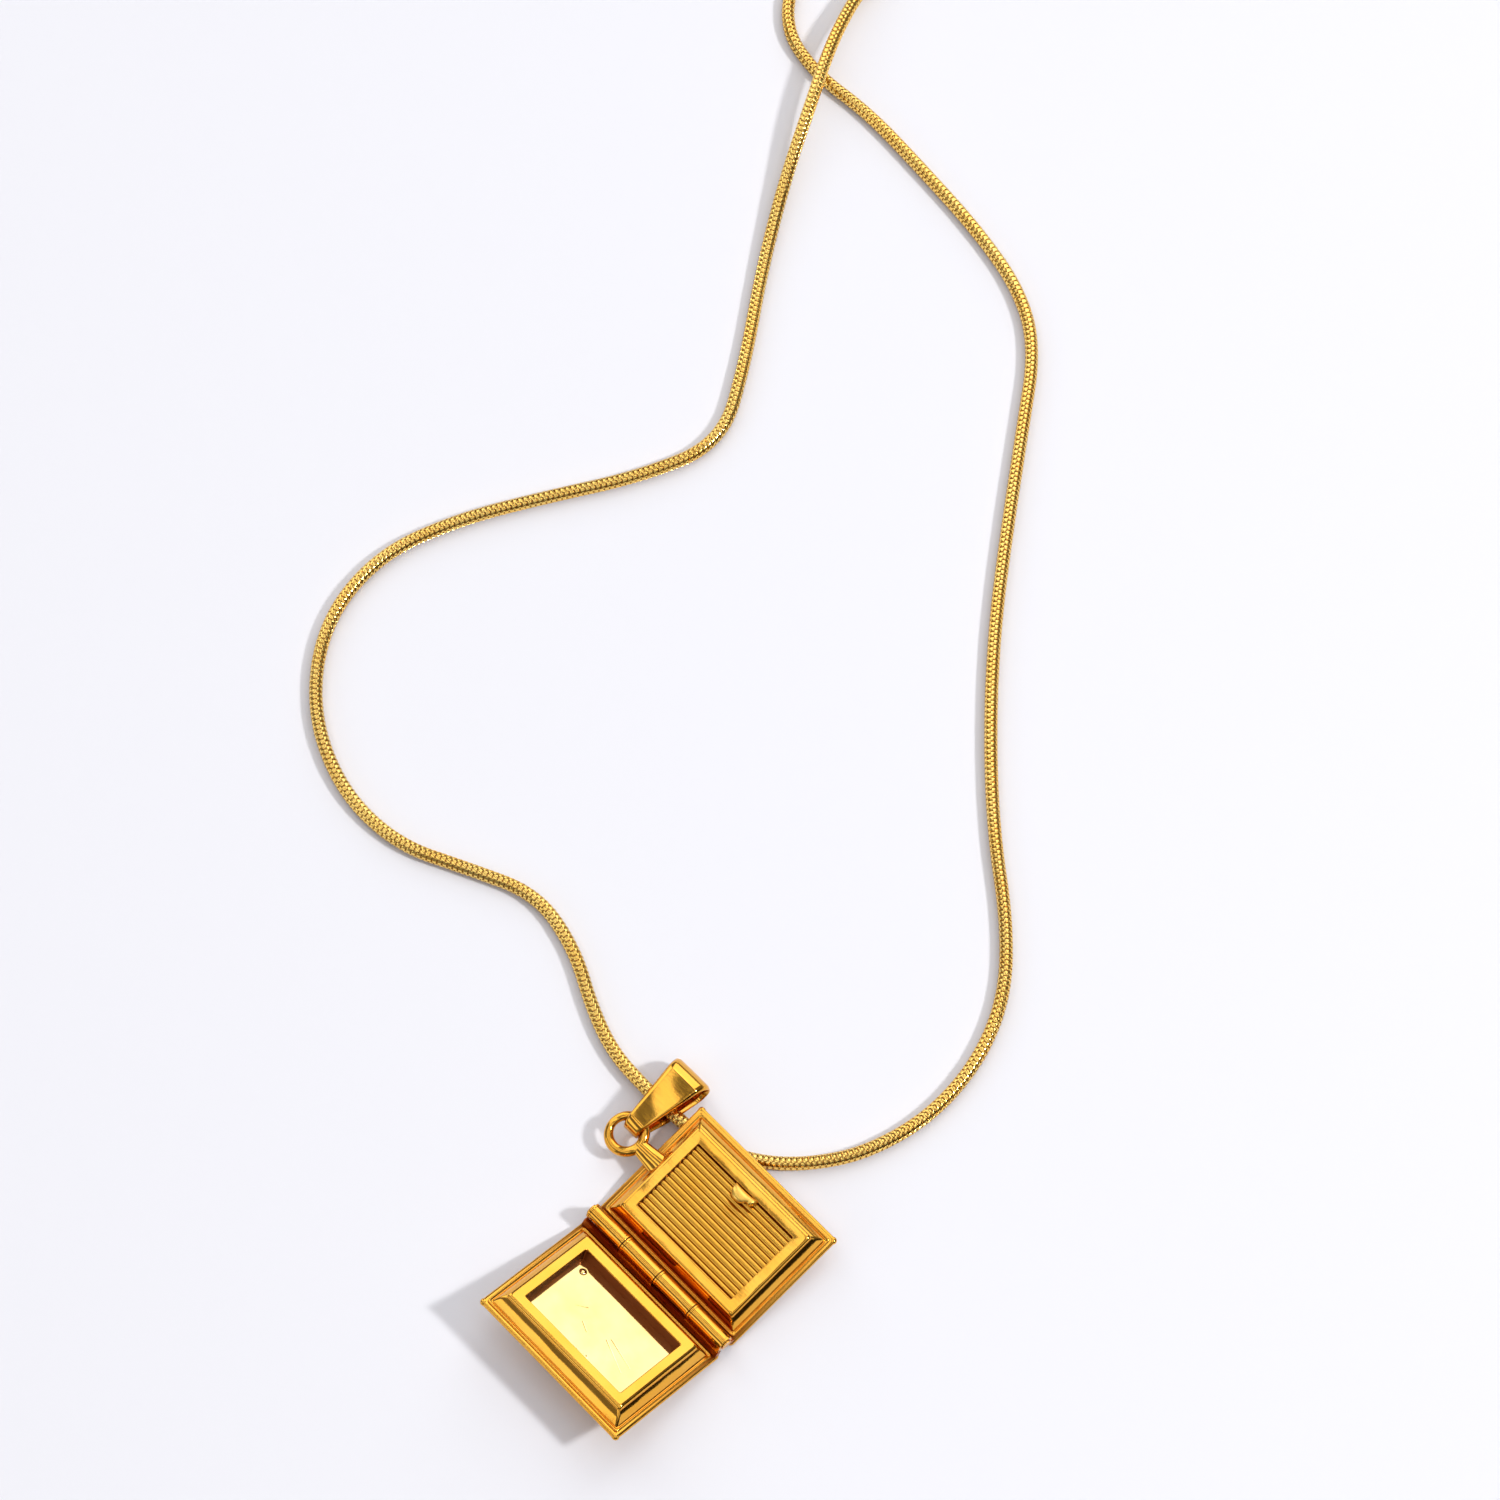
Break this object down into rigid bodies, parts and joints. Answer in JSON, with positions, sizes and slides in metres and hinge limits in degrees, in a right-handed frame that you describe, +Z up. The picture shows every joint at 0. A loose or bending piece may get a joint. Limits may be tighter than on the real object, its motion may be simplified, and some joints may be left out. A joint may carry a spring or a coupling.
{
  "type": "book locket necklace",
  "caption": "Gold book locket lying open on a round snake chain, with a folded ribbon bail, a ribbed panel, a mirror-bright picture plate and a lobster clasp.",
  "frame": {"origin": "on the table under the middle of the pendant: locket, ring and bail", "axes": "+Z up out of the table, +Y along the locket's hinge towards the bail, +X from the hinge towards the ribbed back leaf"},
  "size_m": [0.1647, 0.1253, 0.0062],
  "materials": {
    "polished_gold": "mirror-polished yellow gold or gold plate",
    "mirror_gold": "mirror-polished gold sheet with fine wiping scratches",
    "ribbed_gold": "polished gold pressed into fine half-round ribs",
    "chain_gold": "gold snake chain of fine zig-zag plates",
    "spring_steel": "bare spring strip"
  },
  "bodies": {
    "chain": {"snake_chain": "chain_gold", "end_cap_clasp_side": "polished_gold", "end_cap_ring_side": "polished_gold"},
    "bail": {"bail": "polished_gold"},
    "locket_back": {"back_cover": "polished_gold", "back_frame": "polished_gold", "ribbed_panel": "ribbed_gold", "latch_tongue": "polished_gold", "back_knuckle_top": "polished_gold", "back_knuckle_lower": "polished_gold", "hinge_pin": "polished_gold", "pendant_ring": "polished_gold", "back_hinge_strip": "polished_gold"},
    "locket_front": {"front_cover": "polished_gold", "front_frame": "polished_gold", "picture_plate": "mirror_gold", "front_knuckle_upper": "polished_gold", "front_knuckle_bottom": "polished_gold", "front_hinge_strip": "polished_gold"},
    "clasp_link": {"clasp_jump_ring": "polished_gold"},
    "clasp": {"clasp_body": "polished_gold", "clasp_pin": "polished_gold", "clasp_spring": "spring_steel"},
    "clasp_lever": {"clasp_lever": "polished_gold"},
    "end_ring": {"end_ring": "polished_gold"}
  },
  "joints": [
    {"name": "bail_swing", "type": "hinge", "parent": "chain", "child": "bail", "pos_m": [0.01105, 0.00938, 0.00108], "axis": [0, 1, 0], "range_deg": [-60, 15]},
    {"name": "pendant_turn", "type": "hinge", "parent": "bail", "child": "locket_back", "pos_m": [0.00647, 0.00946, 0.00205], "axis": [-0.165, 0, 0.9863], "range_deg": [-90, 0]},
    {"name": "locket_hinge", "type": "hinge", "parent": "locket_back", "child": "locket_front", "pos_m": [-0.0009, -0.00255, 0.00215], "axis": [0, 1, 0], "range_deg": [0, 151]},
    {"name": "clasp_link_swing", "type": "hinge", "parent": "chain", "child": "clasp_link", "pos_m": [0.14479, 0.09814, 0.00095], "axis": [-0.9701, 0.2425, 0], "range_deg": [-90, 90]},
    {"name": "clasp_turn", "type": "hinge", "parent": "clasp_link", "child": "clasp", "pos_m": [0.14517, 0.0997, 0.00095], "axis": [0, 0, 1], "range_deg": [-90, 90]},
    {"name": "clasp_lever_press", "type": "hinge", "parent": "clasp", "child": "clasp_lever", "pos_m": [0.14578, 0.10398, 0.00095], "axis": [0, 0, 1], "range_deg": [-25, 0], "stiffness_Nm_per_rad": 0.004, "springref_deg": 8.59},
    {"name": "end_ring_swing", "type": "hinge", "parent": "chain", "child": "end_ring", "pos_m": [0.13468, 0.1115, 0.00095], "axis": [0, 1, 0], "range_deg": [-90, 90]}
  ]
}
